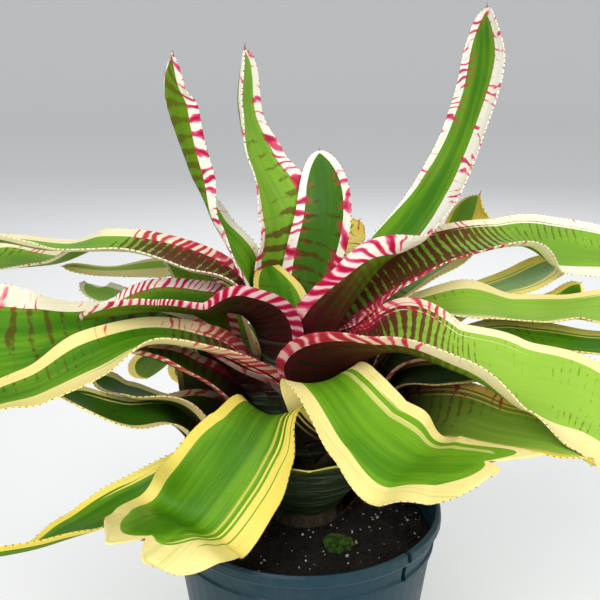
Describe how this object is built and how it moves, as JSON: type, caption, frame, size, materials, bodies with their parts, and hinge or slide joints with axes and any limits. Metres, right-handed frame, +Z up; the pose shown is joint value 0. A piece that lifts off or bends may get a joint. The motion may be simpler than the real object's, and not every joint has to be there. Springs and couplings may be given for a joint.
{
  "type": "potted bromeliad",
  "caption": "Neoregelia bromeliad, a rosette of strap leaves with barred pale margins, rooted in potting mix in a round plastic nursery pot.",
  "frame": {"origin": "centre of the pot's flat underside", "axes": "+Z up along the pot's axis; +X to the right-hand side of the pot seen from the front, where two broad leaves hang over the rim; +Y to the back"},
  "size_m": [0.4378, 0.2767, 0.4061],
  "materials": {
    "pot": "dusty semi-matte teal",
    "potting_mix": "damp bark and peat with white perlite",
    "stem": "dull fibrous",
    "moss": "soft matt",
    "young_leaf": "satin green with white margins barred magenta",
    "grown_leaf": "satin green with cream margins barred red, maroon bands at the base",
    "old_leaf": "satin green with yellow margins",
    "leaf_base": "dark green with grey scurf lines and a dry edge"
  },
  "bodies": {
    "root": {"pot": "pot", "potting_mix": "potting_mix", "stem": "stem", "moss_tuft": "moss", "leaf_01": "young_leaf", "leaf_02": "young_leaf", "leaf_03": "young_leaf", "leaf_04": "young_leaf", "leaf_05": "young_leaf", "leaf_06": "young_leaf", "leaf_07": "young_leaf", "leaf_08": "young_leaf", "leaf_09": "grown_leaf", "leaf_10": "grown_leaf", "leaf_11": "grown_leaf", "leaf_12": "grown_leaf", "leaf_13": "grown_leaf", "leaf_14": "grown_leaf", "leaf_15": "grown_leaf", "leaf_16": "grown_leaf", "leaf_17": "grown_leaf", "leaf_18": "grown_leaf", "leaf_19": "grown_leaf", "leaf_20": "grown_leaf", "leaf_21": "old_leaf", "leaf_22": "old_leaf", "leaf_23": "old_leaf", "leaf_24": "old_leaf", "leaf_25": "old_leaf", "leaf_26": "old_leaf", "leaf_27": "old_leaf", "leaf_28": "old_leaf", "leaf_29": "old_leaf", "leaf_30": "old_leaf", "leaf_31": "old_leaf", "leaf_32": "old_leaf", "leaf_33": "old_leaf", "old_leaf_base_1": "leaf_base", "old_leaf_base_2": "leaf_base", "old_leaf_base_3": "leaf_base"}
  },
  "joints": []
}
